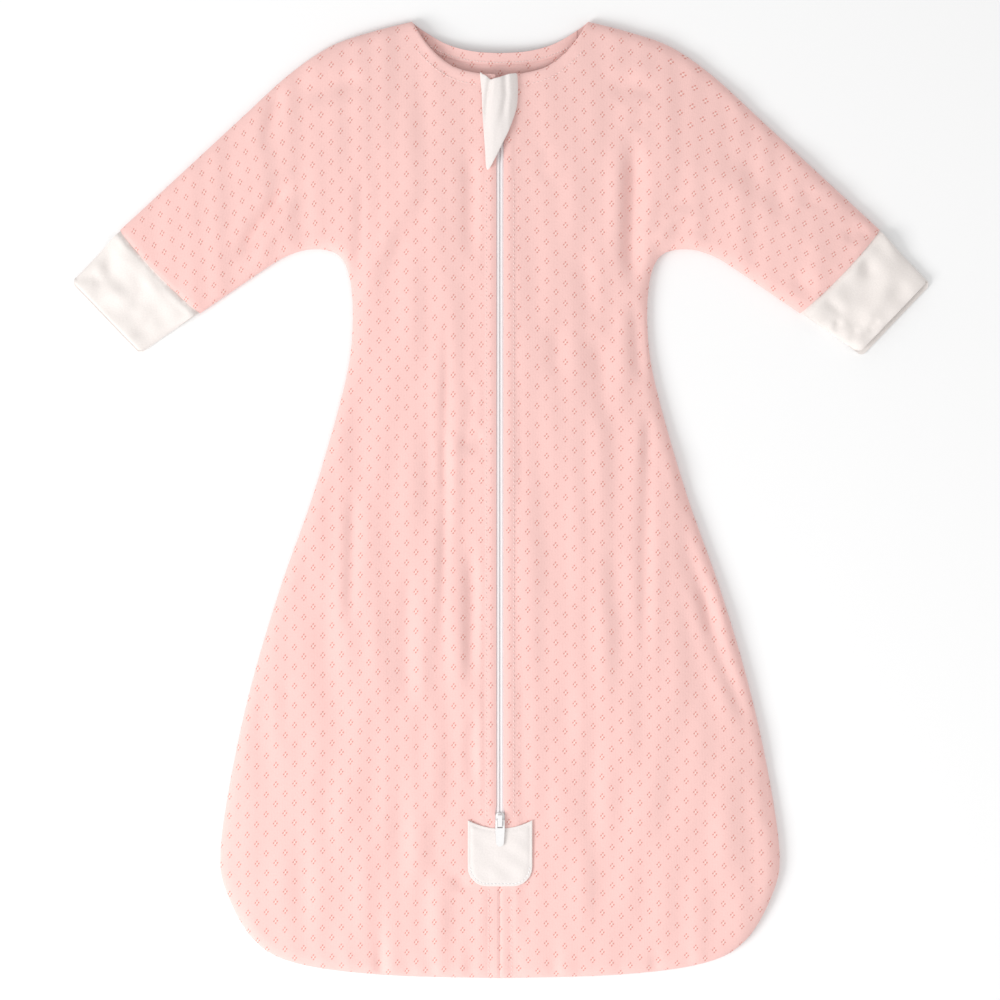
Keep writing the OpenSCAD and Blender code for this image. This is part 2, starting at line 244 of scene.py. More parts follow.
def grain(points):
    """Where each place lies on the flat knit, before its rows and columns were pulled askew."""
    across = np.abs(points[:, 0])
    on_right = points[:, 0] > 0

    def of_side(values):
        return np.where(on_right, values["right"], values["left"])

    arm = smooth((points[:, 1] - ARM_START) / ARM_LENGTH)
    past = across - SLEEVE_START
    past = 0.5 * (past + np.sqrt(past ** 2 + SLEEVE_SOFT ** 2)) * arm
    fall = of_side(ROW_SLOPE) * (np.sqrt(across ** 2 + CENTRE_SOFT ** 2) - CENTRE_SOFT)
    fall += of_side(SLEEVE_SLOPE) * past
    lean = of_side(COLUMN_LEAN) * smooth((across - LEAN_START) / LEAN_LENGTH) * arm
    lean *= points[:, 1] - SHOULDER_Y
    return points + np.column_stack([-lean * np.where(on_right, 1, -1), fall])


# ---------------- heights

CLOTH = 0.9 * MM        # thickness of the knit
SEAM_Z = 4 * MM         # height of the side seams
EDGE_RISE = 4.6 * MM    # the front rises this much beside a seam
EDGE_ROUND = 9 * MM     # within this distance
SLOW_RISE = 5.3 * MM    # and this much more towards the middle
SLOW_LENGTH = 42 * MM
BACK_ROUND = 6 * MM     # the back turns up to a seam within this distance
FLOOR_GAP = 0.4 * MM
NECK_LIFT = 5.5 * MM    # the back stands up at the neck, and lies flat this far below it
NECK_LIFT_LENGTH = 55 * MM
SLOT = 2.7 * MM         # half width between the folded edges beside the zip
SLIDER_SLOT = 3.45 * MM  # and beside the slider
PLACKET = 13 * MM       # the front is stiff and level over the zip tapes, out to here
PLACKET_TOP = 14.0 * MM
PLACKET_STEP = 0.6 * MM  # the folded edge beside the zip is this much thicker, out to its row of stitches
NECK_ROW = 8.6 * MM     # from the neck's edge to the row of stitches below it
CENTRE_ROW = 8.3 * MM   # from the centre seam to the row of stitches on each side
LOWEST = 2.2 * MM       # the front stays between these heights
HIGHEST = cloth_top + 1.6 * MM
PATCH_BOTTOM, PATCH_TOP = span("zip_patch")
placket_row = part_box("right_placket_stitching")[0].x

# Folds of the front: points in millimetres, depth and half width. A negative depth is a ridge.
FOLDS = [
    ([(-150, 234), (-170, 208), (-194, 172)], 3.6, 5.5),
    ([(-144, 290), (-122, 302), (-96, 308)], 1.4, 7),
    ([(-158, 302), (-166, 280), (-174, 252)], 1.4, 4.5),
    ([(-108, 146), (-102, 190), (-101, 250)], 1.1, 4),
    ([(-104, 140), (-84, 192), (-52, 236)], -1.3, 6),
    ([(-92, 140), (-70, 190), (-44, 215)], 0.9, 6),
    ([(-21, 262), (-21, 215), (-20, 166)], 2.2, 6),
    ([(-40, 160), (-39, 90), (-40, 40), (-40, -10), (-42, -80), (-41, -148)], 1.3, 3.5),
    ([(-40, 52), (-40, 28), (-40, 2)], 0.9, 3.2),
    ([(-30, 46), (-20, 43), (-10, 45)], 1.3, 7),
    ([(-20, 90), (-21, 60), (-22, 44)], 1.0, 4),
    ([(-21, -24), (-20, -80), (-22, -142)], 2.2, 4.5),
    ([(-18, -146), (-21, -180), (-19, -214)], 1.1, 4),
    ([(-107, 16), (-108, -36), (-110, -104)], 1.7, 4.5),
    ([(-95, 20), (-93, -60), (-92, -150)], -0.9, 6),
    ([(-66, -34), (-68, -90), (-67, -162)], 1.1, 5),
    ([(-56, -60), (-55, -110), (-57, -160)], -0.8, 5),
    ([(-157, -122), (-156, -150), (-158, -184)], 0.9, 6),
    ([(99, 272), (97, 225), (96, 185), (98, 146)], 4.2, 6.5),
    ([(98, 150), (101, 110), (104, 80)], 1.7, 5),
    ([(106, 84), (108, 48), (107, 0), (106, -60), (106, -140)], 1.5, 4.5),
    ([(107, 66), (108, 46), (107, 22)], 0.8, 4),
    ([(78, 297), (94, 302), (114, 298)], 1.5, 7),
    ([(103, 292), (102, 280), (98, 268)], 1.2, 5),
    ([(110, 186), (124, 202), (140, 216)], -2.2, 5),
    ([(70, 128), (74, 92), (75, 48)], 1.5, 6),
    ([(62, 180), (66, 150), (71, 122)], 1.0, 7),
    ([(40, 130), (41, 108), (40, 86)], 0.8, 6),
    ([(34, 262), (33, 244), (31, 230)], 0.9, 5),
    ([(133, -20), (150, -74), (158, -104), (166, -128), (186, -176)], 1.7, 5),
    ([(146, -58), (152, -80), (157, -102)], 1.0, 5),
    ([(193, -188), (196, -222), (197, -244)], 1.2, 5),
    ([(81, -30), (84, -60), (80, -90)], 0.6, 7),
    ([(34, -12), (36, -44), (34, -72)], 0.5, 6),
    ([(-47, -222), (-48, -250), (-46, -280)], 1.2, 6),
    ([(-30, -270), (-28, -278), (-26, -286)], 1.3, 5),
    ([(228, 228), (226, 222), (226, 212)], 1.1, 6),
    ([(270, 198), (262, 196), (250, 190)], 1.4, 5),
    ([(232, 150), (222, 156), (212, 166)], 1.2, 6),
    ([(160, 262), (190, 232), (214, 204)], 1.0, 9),
    ([(-186, 248), (-210, 222), (-226, 196)], 0.9, 8),
]
# Puckers along the hem: place across the bag in millimetres, depth and length
PUCKERS = [
    (-136, 1.2, 16), (-117, 1.5, 18), (-87, 3.4, 26), (-66, 1.0, 14), (-50, 1.4, 16), (-22, 1.6, 24),
    (-8, 1.0, 14), (12, 1.8, 30), (40, 1.4, 20), (58, 1.2, 14), (88, 1.0, 12), (113, 2.6, 18),
    (138, 2.0, 18), (168, 1.4, 14),
]
PUCKER_WIDTH = 4.5 * MM


def along(points, line):
    """Distance from each point to a line through a few points, and how far along it the nearest place is."""
    line = np.array(line, float) * MM
    lengths = np.hypot(*np.diff(line, axis=0).T)
    nearest, place, done = np.full(len(points), np.inf), np.zeros(len(points)), 0.0
    for a, b, length in zip(line, line[1:], lengths):
        t = np.clip(((points - a) @ (b - a)) / length ** 2, 0, 1)
        d = np.hypot(*(points - a - t[:, None] * (b - a)).T)
        place = np.where(d < nearest, done + t * length, place)
        nearest = np.minimum(nearest, d)
        done += length
    return nearest, place / done


def creased(points, lines, fade_in=0.3, fade_out=0.3, bank=0.35, bank_at=2.1, bank_width=1.1):
    """Height of folds: each is a groove that fades at its ends, with a soft bank on both sides."""
    z = np.zeros(len(points))
    for line, depth, width in lines:
        away, place = along(points, line)
        away /= width * MM
        ends = smooth((1 - place) / fade_out)
        if fade_in:
            ends *= smooth(place / fade_in)
        z -= depth * MM * ends * (np.exp(-away ** 2) - bank * np.exp(-((away - bank_at) / bank_width) ** 2))
    return z


def folds(points):
    """Height of the folds of the front and of the puckers along its hem."""
    z = creased(points, FOLDS)
    for x, depth, length in PUCKERS:
        across = (points[:, 0] - x * MM) / PUCKER_WIDTH
        up = (points[:, 1] - cad_box[0].y) / (length * MM)
        z -= depth * MM * np.exp(-across ** 2) * np.exp(-np.maximum(up, 0) ** 2)
    return z


def ripple(points, wave_x, wave_y, seed):
    """A smooth random surface of height about 1, with those distances between its waves."""
    waves = 14
    random = np.random.default_rng(seed)
    z = np.zeros(len(points))
    for _ in range(waves):
        kx, ky = random.normal(0, 1 / wave_x), random.normal(0, 1 / wave_y)
        phase = random.uniform(0, 2 * math.pi)
        z += np.sin(2 * math.pi * (kx * points[:, 0] + ky * points[:, 1]) + phase)
    return z / math.sqrt(waves / 2)


def seam_distance(points):
    """From each point to the nearest side, shoulder or sleeve seam."""
    return distance(points, seam_starts, seam_ends)


def cuff_seam_ends(side):
    """Where the seam of a cuff starts and ends along its straight fold line."""
    start, direction = joint_line(f"{side}_cuff_fold")
    at_fold = np.abs(past_cuff(sleeve_loops[side], side)) < NEAR
    places = (sleeve_loops[side][at_fold] - start) @ direction
    return places.min(), places.max()


SEAM_BOW = 2.4 * MM     # the seam of each cuff bows outwards by this much at its middle
CUFF_ENDS = {side: cuff_seam_ends(side) for side in SIDES}


def bow(points, side):
    """How far the seam of a cuff lies outside its straight fold line."""
    start, direction = joint_line(f"{side}_cuff_fold")
    low, high = CUFF_ENDS[side]
    place = ((points - start) @ direction - (low + high) / 2) / ((high - low) / 2)
    return SEAM_BOW * (1 - np.clip(place, -1, 1) ** 2)


def rounded_rise(d, length):
    """From 0 to 1 as the distance goes from 0 to the length, like a quarter of a circle."""
    return np.sqrt(1 - (1 - np.minimum(d / length, 1)) ** 2)


def groove(away, depth, width):
    """A dip of that depth and half width, at a distance from its middle."""
    return -depth * np.exp(-(away / width) ** 2)


def turned_down(inside_by, depth, width):
    """How far the cloth is turned down near its edge, at a distance inside it."""
    return -depth * np.exp(-np.maximum(inside_by, 0) / width)


def neck_shape(points):
    """The cloth turns down at the neck, and a row of stitches draws it in."""
    across = np.abs(points[:, 0])
    below = np.interp(across, neck_points[:, 0], neck_points[:, 1]) - points[:, 1]
    below = np.where(across < neck_corner[0], below, FAR)
    return turned_down(below, 1.1 * MM, 0.9 * MM) + groove(below - NECK_ROW, 0.45 * MM, 1.2 * MM)


def zip_side_shape(points):
    """The folded edge beside the zip: thicker out to its row of stitches, and turned down at the slot."""
    across = np.abs(points[:, 0])
    folded = smooth((points[:, 1] - PATCH_TOP) / (6 * MM))
    folded *= smooth((placket_row + 0.6 * MM - across) / (1.1 * MM))
    folded *= smooth((across - SLOT) / (4 * MM))
    z = PLACKET_STEP * folded + turned_down(across - SLOT, 0.25 * MM, 0.5 * MM)
    return z + groove(across - placket_row - 0.5 * MM, 0.6 * MM, 1.0 * MM)


def centre_seam_shape(points):
    """The seam below the zip, with a row of stitches on each side."""
    seam = groove(points[:, 0], 0.75 * MM, 1.0 * MM)
    return seam + groove(np.abs(points[:, 0]) - CENTRE_ROW, 0.45 * MM, 1.2 * MM)


def front_height(points):
    """Top surface of the front and of the sleeves."""
    across = np.abs(points[:, 0])
    d = seam_distance(points)
    rise = rounded_rise(d, EDGE_ROUND)
    calm = smooth((across - 6 * MM) / (10 * MM))
    waves = 0.45 * MM * ripple(points, 0.09, 0.14, 3) + 0.3 * MM * ripple(points, 0.03, 0.16, 5)
    z = SEAM_Z + EDGE_RISE * rise + SLOW_RISE * (1 - np.exp(-d / SLOW_LENGTH))
    z += rise * (folds(points) + calm * waves) + neck_shape(points)
    by_zip = smooth((points[:, 1] - (PATCH_BOTTOM - 2 * MM)) / (4 * MM))
    placket = by_zip * smooth((PLACKET + 2 * MM - across) / (4 * MM))
    z += placket * (PLACKET_TOP + 0.3 * (z - PLACKET_TOP).clip(0, None) - z)
    z += by_zip * zip_side_shape(points) + (1 - by_zip) * centre_seam_shape(points)
    for side, sign in SIDES.items():
        on_sleeve = (points[:, 0] * sign > SLEEVE_X) & (points[:, 1] > SLEEVE_Y)
        reach = np.where(on_sleeve, past_cuff(points, side), FAR)
        z += rise * groove(reach - bow(points, side), 1.0 * MM, 1.6 * MM)
    return np.clip(z, LOWEST, HIGHEST)


def back_height(points):
    """Outer surface of the back and of the backs of the sleeves, which turn up to the seams."""
    turn = 1 - rounded_rise(seam_distance(points), BACK_ROUND)
    across = np.clip(points[:, 0] / neck_corner[0], -1, 1)
    below_neck = np.interp(np.abs(points[:, 0]), *back_neck_points.T) - points[:, 1]
    collar = NECK_LIFT * (1 - across ** 2) * smooth(1 - below_neck / NECK_LIFT_LENGTH)
    return FLOOR_GAP + (SEAM_Z - FLOOR_GAP) * turn + collar


# ---------------- meshes

def mesh_object(name, vertices, faces, uv=None):
    """A smooth-shaded mesh in the scene, with a place on the flat cloth for each vertex if it is given."""
    mesh = bpy.data.meshes.new(name)
    mesh.from_pydata([tuple(v) for v in vertices], [], [tuple(f) for f in faces])
    mesh.update()
    mesh.polygons.foreach_set("use_smooth", [True] * len(mesh.polygons))
    if uv is not None:
        layer = mesh.uv_layers.new(name="cloth")
        corners = np.zeros(len(mesh.loops), int)
        mesh.loops.foreach_get("vertex_index", corners)
        layer.data.foreach_set("uv", np.asarray(uv, np.float32)[corners].ravel())
    piece = bpy.data.objects.new(name, mesh)
    bpy.context.scene.collection.objects.link(piece)
    return piece


EDGE_ROWS = (0.7, 1.7, 3.1)     # rows of points inside a cloth's edge, in millimetres from it


def filled(loop, spacing, rows):
    """Points and triangles that fill a loop, in plan, with closer rows of points along it."""
    rim = divided(loop, spacing)
    tangent = np.roll(rim, -1, 0) - np.roll(rim, 1, 0)
    tangent /= np.hypot(*tangent.T)[:, None]
    inward = np.sign(signed_area(rim)) * np.stack([-tangent[:, 1], tangent[:, 0]], 1)
    points = [rim]
    ends = np.roll(rim, -1, 0)
    for row in rows:
        moved = rim + inward * row * MM
        points.append(moved[inside(moved, rim) & (distance(moved, rim, ends) > 0.93 * row * MM)])
    low, high = rim.min(0), rim.max(0)
    grid_y = np.arange(low[1], high[1], spacing * math.sqrt(0.75))
    grid_x = np.arange(low[0], high[0], spacing)
    grid = np.array([(x + spacing / 2 * (j % 2), y) for j, y in enumerate(grid_y) for x in grid_x])
    grid = grid[inside(grid, rim)]
    clear = rows[-1] * MM + 0.7 * spacing if rows else 0.6 * spacing
    points.append(grid[distance(grid, rim, ends) > clear])
    points = np.concatenate(points)
    edges = [(i, (i + 1) % len(rim)) for i in range(len(rim))]
    made = delaunay_2d_cdt([Vector(p) for p in points], edges, [], 1, 1e-7)
    return np.array([tuple(v) for v in made[0]]), made[2]


def plan_area(points, faces):
    """Area of the triangles, seen from above."""
    corners = points[np.array(faces)]
    a, b = corners[:, 1] - corners[:, 0], corners[:, 2] - corners[:, 0]
    return 0.5 * np.abs(a[:, 0] * b[:, 1] - a[:, 1] * b[:, 0]).sum()


CREASE = math.radians(50)      # the cut edges of a cloth are shaded apart from its faces


def thick(piece, thickness, up):
    """Gives a sheet its thickness, on the side away from its outer surface."""
    solidify = piece.modifiers.new("thickness", "SOLIDIFY")
    solidify.thickness = thickness
    solidify.offset = -1 if up else 1
    solidify.use_even_offset = False
    solid = bpy.data.meshes.new_from_object(piece.evaluated_get(bpy.context.evaluated_depsgraph_get()))
    piece.modifiers.clear()
    piece.data = solid
    solid.set_sharp_from_angle(angle=CREASE)


def cloth(name, loop, height, material, up=True, spacing=2.4 * MM, thickness=CLOTH, rows=EDGE_ROWS,
          trim=False):
    """A sheet of cloth that fills the loop, its outer face at the height that the function gives.

    Its outer face looks up, or down if up is false. A trim is a narrow strip that is sewn down all along.
    """
    points, faces = filled(loop, spacing, rows)
    piece = mesh_object(name, np.column_stack([points, height(points)]), faces, uv=grain(points))
    if piece.data.polygons[0].normal.z < 0:
        piece.data.flip_normals()
    thick(piece, thickness, up)
    piece.data.materials.append(material)
    if not trim:
        size = points.max(0) - points.min(0)
        area = min(plan_area(points, faces), size[0] * size[1])
    return piece


def ring_faces(rings, sides):
    """Faces of a tube made of rings with that many points each, closed at both ends."""
    faces = []
    for i in range(rings - 1):
        for k in range(sides):
            j = (k + 1) % sides
            faces.append((i * sides + k, i * sides + j, (i + 1) * sides + j, (i + 1) * sides + k))
    faces.append(tuple(range(sides))[::-1])
    faces.append(tuple((rings - 1) * sides + k for k in range(sides)))
    return faces


def tube(points, radius, sides=6):
    """Vertices and faces of a round tube along the points, closed at both ends."""
    points = np.asarray(points, float)
    tangent = np.gradient(points, axis=0)
    tangent /= np.linalg.norm(tangent, axis=1)[:, None]
    across = np.cross(tangent, [0, 0, 1.0])
    across[np.linalg.norm(across, axis=1) < 1e-6] = [1, 0, 0]
    across /= np.linalg.norm(across, axis=1)[:, None]
    up = np.cross(across, tangent)
    turn = 2 * math.pi * np.arange(sides) / sides
    ring = np.cos(turn)[None, :, None] * across[:, None] + np.sin(turn)[None, :, None] * up[:, None]
    return (points[:, None] + ring * radius).reshape(-1, 3), ring_faces(len(points), sides)


def gathered(parts):
    """One list of vertices and faces from several."""
    vertices, faces, count = [], [], 0
    for v, f in parts:
        vertices.append(v)
        faces += [tuple(i + count for i in face) for face in f]
        count += len(v)
    return np.concatenate(vertices), faces


STITCH_ARCH = np.array([-0.5, 0.12, 0.3, 0.12, -0.5]) * MM      # height of a stitch above the cloth


def stitches(name, line, height, material, pitch=3.0 * MM, share=0.72, radius=0.28 * MM):
    """A row of stitches along a line in plan, each a short thread that dips into the cloth at both ends."""
    line = divided(np.asarray(line), 0.5 * MM, closed=False)
    steps = np.concatenate([[0], np.cumsum(np.hypot(*np.diff(line, axis=0).T))])
    threads = []
    for start in np.arange(0, steps[-1] - pitch * share, pitch):
        at = np.linspace(start, start + pitch * share, len(STITCH_ARCH))
        plan = np.column_stack([np.interp(at, steps, line[:, k]) for k in (0, 1)])
        threads.append(tube(np.column_stack([plan, height(plan) + STITCH_ARCH]), radius))
    piece = mesh_object(name, *gathered(threads))
    piece.data.materials.append(material)
    return piece


def blend_by(piece, weight):
    """Bakes a piece in place and works out a weight for each of its points; nothing uses the weights."""
    co = np.zeros(len(piece.data.vertices) * 3)
    piece.data.vertices.foreach_get("co", co)
    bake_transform(piece)
    weights = weight(co.reshape(-1, 3)[:, :2]).astype(np.float32)


def held(piece, nodes, a, b=None, weight=None):
    """Hides the CAD nodes that a piece stands for and parents the piece to the body it rides on; given a
    second body, it only bakes the piece in place.
    """
    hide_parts(*nodes)
    if b is None:
        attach(piece, a)
    else:
        blend_by(piece, weight)


# ---------------- materials

class Value:
    """The output of a material's node. Sums with it add nodes of their own."""

    def __init__(self, graph, socket):
        self.graph, self.socket = graph, socket

    def __add__(self, other):
        return self.graph.math("ADD", self, other)

    def __sub__(self, other):
        return self.graph.math("SUBTRACT", self, other)

    def __rsub__(self, other):
        return self.graph.math("SUBTRACT", other, self)

    def __mul__(self, other):
        return self.graph.math("MULTIPLY", self, other)

    def __truediv__(self, other):
        return self.graph.math("DIVIDE", self, other)


class Graph:
    """A material's nodes, with short calls for those that draw a pattern."""

    def __init__(self, name, roughness=0.85, sheen=0.0):
        self.material = bpy.data.materials.new(name)
        self.material.use_nodes = True
        self.tree = self.material.node_tree
        self.shader = self.tree.nodes["Principled BSDF"]
        self.shader.inputs["Roughness"].default_value = roughness
        self.shader.inputs["Sheen Weight"].default_value = sheen
        self.shader.inputs["Sheen Roughness"].default_value = 0.4
        self.shader.inputs["Specular IOR Level"].default_value = 0.25

    def link(self, value, socket):
        """Gives a socket a value, or the output of another node."""
        if isinstance(value, Value):
            self.tree.links.new(value.socket, socket)
        else:
            socket.default_value = value

    def node(self, kind, output, inputs, **settings):
        """The output of a new node. Its inputs are given by name or by number."""
        node = self.tree.nodes.new(kind)
        for name, value in settings.items():
            setattr(node, name, value)
        for name, value in inputs.items():
            self.link(value, node.inputs[name])
        return Value(self, node.outputs[output])

    def math(self, operation, *values):
        return self.node("ShaderNodeMath", 0, dict(enumerate(values)), operation=operation)

    def step(self, value, low, high):
        """0 below low and 1 above high, smooth between them."""
        inputs = {"Value": value, "From Min": low, "From Max": high}
        return self.node("ShaderNodeMapRange", "Result", inputs, interpolation_type="SMOOTHSTEP")

    def mix(self, share, a, b):
        return self.node("ShaderNodeMix", "Result", {"Factor": share, "A": a, "B": b}, data_type="RGBA")

    def noise(self, vector, scale, detail=2.0):
        inputs = {"Vector": vector, "Scale": scale, "Detail": detail}
        return self.node("ShaderNodeTexNoise", "Fac", inputs)

    def plan(self):
        """The place on the flat cloth: across and along in millimetres, and as a vector in metres."""
        place = self.node("ShaderNodeUVMap", 0, {}, uv_map="cloth")
        return [self.node("ShaderNodeSeparateXYZ", k, {0: place}) * 1000.0 for k in (0, 1)], place

    def place(self):
        return self.node("ShaderNodeTexCoord", "Object", {})

    def bump(self, height, depth, strength=1.0):
        inputs = {"Height": height, "Distance": depth, "Strength": strength}
        return self.node("ShaderNodeBump", 0, inputs)

    def finish(self, colour, normal=None, roughness=None):
        """The finished material."""
        for value, name in ((colour, "Base Color"), (normal, "Normal"), (roughness, "Roughness")):
            if value is not None:
                self.link(value, self.shader.inputs[name])
        return self.material


def shade(colour, factor):
    """The colour, made lighter or darker."""
    return tuple(c * factor for c in colour[:3]) + (1.0,)


PINK = (0.93, 0.594, 0.557, 1)
# painted shade: the deep pink inside the holes stands for the shaded layer seen through them
PINK_HOLE_SHADE = (0.76, 0.27, 0.22, 1)
PINK_LIGHT = (0.96, 0.74, 0.67, 1)
IVORY = (0.87, 0.81, 0.775, 1)
WHITE = (0.86, 0.80, 0.775, 1)
HOLE_PITCH = (13.6, 14.2)       # millimetres between groups of holes, across and along
HOLE_REACH = (1.2, 1.65)        # from a group's middle to its holes
HOLE_SIZE = (0.52, 0.72)        # half width and half height of a hole
HOLE_LEAN = 0.4                 # its slope to the right
WALE = 1.15                     # width of a column of knitting
SWAY = 3.0                      # how far the knit wanders off its straight lines


def ribs(graph, value, pitch):
    """A wave of that pitch, from 0 to 1."""
    return graph.math("SINE", value * (2 * math.pi / pitch)) * 0.5 + 0.5


def hole_groups(graph, u, v, shift):
    """How near each place is to a hole of one set of groups, from 0 to 1, and to a group's middle."""
    local = []
    for value, pitch in zip((u, v), HOLE_PITCH):
        local.append((graph.math("FRACT", value * (1 / pitch) + shift) - 0.5) * pitch)
    near = None
    for k, reach in enumerate(HOLE_REACH):
        for end in (-1, 1):
            parts = list(local)
            parts[k] = local[k] - end * reach
            wide = (parts[0] - parts[1] * HOLE_LEAN) / HOLE_SIZE[0]
            tall = parts[1] / HOLE_SIZE[1]
            hole = 1.0 - graph.step(wide * wide + tall * tall, 0.2, 1.3)
            near = hole if near is None else graph.math("MAXIMUM", near, hole)
    return near, 1.0 - graph.step(local[0] * local[0] + local[1] * local[1], 0.05, 0.7)


def knit(name, openwork=True, base=PINK, wale=WALE, sheen=0.35):
    """Fine knitted cloth in columns, with groups of small holes if it is openwork; the holes and the gaps
    between the loops are darkened as painted shade.
    """
    graph = Graph(name, roughness=0.9, sheen=sheen)
    (u, v), place = graph.plan()
    u = (graph.noise(place, 14.0) - 0.5) * SWAY + u
    v = (graph.noise(place, 11.0) - 0.5) * SWAY + v
    loops = ribs(graph, u, wale) * (ribs(graph, v, wale * 0.8) * 0.4 + 0.6)
    mottle = graph.noise(place, 60.0, 4.0) * 0.5 + 0.1     # broad faint patches
    fluff = graph.noise(place, 750.0, 3.0)      # single fibres
    colour = graph.mix(mottle, shade(base, 0.97), shade(base, 1.04))
    # painted shade: the knit is a little darker in the gaps between its loops
    colour = graph.mix((1.0 - loops) * 0.04, colour, shade(base, 0.7))
    colour = graph.mix(graph.step(fluff, 0.3, 0.7), shade(base, 0.95), colour)
    height = loops * 0.12 + fluff * 0.5
    if openwork:
        # The second set of groups lies half way between those of the first.
        near_a, middle_a = hole_groups(graph, u, v, 0.0)
        near_b, middle_b = hole_groups(graph, u, v, 0.5)
        hole = graph.math("MAXIMUM", near_a, near_b)
        middle = graph.math("MAXIMUM", middle_a, middle_b)
        # painted shade: each hole is coloured deep pink for the shaded cloth seen through it
        colour = graph.mix(hole * 0.85, colour, PINK_HOLE_SHADE)
        colour = graph.mix(middle * 0.8, colour, PINK_LIGHT)
        height = height - hole * 0.8 + middle * 0.5
    return graph.finish(colour, graph.bump(height, 0.35 * MM, 0.8))


def speckled(name, colour, roughness, sheen=0.0, scale=900.0, detail=3.0, tones=(0.95, 1.03), depth=0.03):
    """One colour with a faint grain, for moulded nylon, thread and the rolled edges of cloth."""
    graph = Graph(name, roughness, sheen)
    speck = graph.noise(graph.place(), scale, detail)
    tone = graph.mix(speck, shade(colour, tones[0]), shade(colour, tones[1]))
    return graph.finish(tone, graph.bump(speck, depth * MM))


def tape_material():
    """Woven zip tape with a fine lengthways rib, darker between its ribs as painted shade."""
    graph = Graph("zip_tape_weave", roughness=0.65, sheen=0.1)
    (u, v), place = graph.plan()
    weave = ribs(graph, u, 0.55) * ribs(graph, v, 0.7)
    # painted shade: the tape is darker between its ribs
    tone = graph.mix(weave, (0.90, 0.85, 0.86, 1), (0.98, 0.94, 0.94, 1))
    return graph.finish(tone, graph.bump(weave, 0.12 * MM))


def enamel_material():
    """White enamel over a zinc casting, slightly uneven, with bare metal showing through in specks."""
    graph = Graph("white_enamel", roughness=0.3)
    place = graph.place()
    uneven = graph.noise(place, 500.0, 3.0)
    wear = graph.step(graph.noise(place, 1400.0, 2.0), 0.66, 0.74)
    tone = graph.mix(uneven, (0.80, 0.79, 0.79, 1), (0.90, 0.89, 0.89, 1))
    tone = graph.mix(wear * 0.5, tone, (0.55, 0.55, 0.57, 1))
    return graph.finish(tone, graph.bump(uneven, 0.05 * MM), uneven * 0.2 + 0.22)


pink_knit = knit("pink_openwork_knit")
# painted shade: a darker pink for the facings and seam allowances that lie in shade inside the bag
pink_shaded_knit = knit("pink_facing_knit", base=(0.88, 0.53, 0.48, 1))
jersey = knit("ivory_jersey", openwork=False, base=IVORY, wale=0.9, sheen=0.3)
white_jersey = knit("white_jersey", openwork=False, base=WHITE, wale=0.8, sheen=0.3)
jersey_plain = speckled("jersey_roll", IVORY, roughness=0.9)
thread = partial(speckled, roughness=0.7, sheen=0.2, scale=2600.0, detail=1.0, tones=(0.86, 1.05), depth=0.08)
pink_thread = thread("pink_thread", (0.97, 0.75, 0.71, 1))
white_thread = thread("white_thread", (0.93, 0.92, 0.92, 1))
tape_weave = tape_material()
coil_nylon = speckled("coil_nylon", (0.93, 0.89, 0.90, 1), roughness=0.4)
enamel = enamel_material()


# ---------------- the bag's panels

def turned_to(loop, first):
    """The same loop, starting at the point nearest to the one given."""
    return np.roll(loop, -int(np.argmin(np.hypot(*(loop - first).T))), 0)


def clockwise(loop):
    """The same loop, run the other way round if it is anticlockwise."""
    return loop if signed_area(loop) < 0 else loop[::-1]


TAPE_END = 16 * MM      # the tapes go on this far below the slit
slit_bottom = span("zip_tape_lower_ends")[0] + TAPE_END
fold_x = abs(joints["right_front_open"]["pos_m"][0])
fold_low, fold_high = span("right_flap_panel")
slider_low, slider_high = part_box("slider_body")
slider_end = slider_low.y + joints["slider_travel"]["range_m"][1]
open_end = slider_end - 9 * MM      # nothing opens above the slider's highest place
FOLD_SHARE = 0.66       # the front bends over this share of the way from its fold line to the zip


def opening_weight(points):
    """How far each place of a front folds back when the zip is undone: 1 in full, 0 not at all."""
    inward = smooth((fold_x - np.abs(points[:, 0])) / (FOLD_SHARE * fold_x))
    up = smooth((points[:, 1] - slit_bottom) / (fold_low - slit_bottom))
    down = smooth((open_end - points[:, 1]) / (open_end - fold_high))
    return inward * up * down


def front_outline():
    """Outline of the right front: the neck, the body's right half, and the edge beside the zip."""
    half = turned_to(clockwise(body_loop), neck_corner)
    half = half[:np.argmax(half[:, 0] < -FLAT)]
    half = half[half[:, 0] > FLAT]
    neck_start = (SLIDER_SLOT, np.interp(SLIDER_SLOT, neck_points[:, 0], neck_points[:, 1]))
    neck_rim = [p for p in neck_points if SLIDER_SLOT + NEAR < p[0] < neck_corner[0] - NEAR]
    zip_edge = [
        (0.0, body_loop[:, 1].min()), (0.0, slit_bottom - 3 * MM),
        (SLIDER_SLOT, slider_low.y - 3 * MM), (SLIDER_SLOT, slider_high.y + 1 * MM),
        (SLOT, slider_high.y + 5 * MM), (SLOT, slider_end - 5 * MM), (SLIDER_SLOT, slider_end - 1 * MM),
    ]
    return np.array([neck_start, *neck_rim, *half, *zip_edge])


def cuff_outward(side):
    """The direction out of a sleeve, across its cuff seam."""
    start, direction = joint_line(f"{side}_cuff_fold")
    outward = np.array([-direction[1], direction[0]])
    return outward * np.sign(past_cuff(np.array([start + outward]), side)[0])


def bowed(loop, side):
    """The loop of a sleeve, with the seam of the cuff bowed outwards."""
    loop = divided(loop, 2.4 * MM)
    reach = past_cuff(loop, side)
    at_seam = (np.abs(reach) < NEAR) & (loop[:, 1] > SLEEVE_Y)
    return loop + cuff_outward(side) * (bow(loop, side) * at_seam)[:, None]


def bend_weight(joint, length):
    """A weight that goes from 0 at a joint's axis to 1 at a length beyond it."""
    def weight(points):
        return smooth(beyond(points, joint) / length)
    return weight


sleeve_weights = {side: bend_weight(f"{side}_sleeve_lift", 30 * MM) for side in SIDES}
cuff_weights = {side: bend_weight(f"{side}_cuff_fold", 16 * MM) for side in SIDES}

back = cloth("back_cloth", body_loop, back_height, pink_knit, up=False)
held(back, ["back_panel"], "bag")

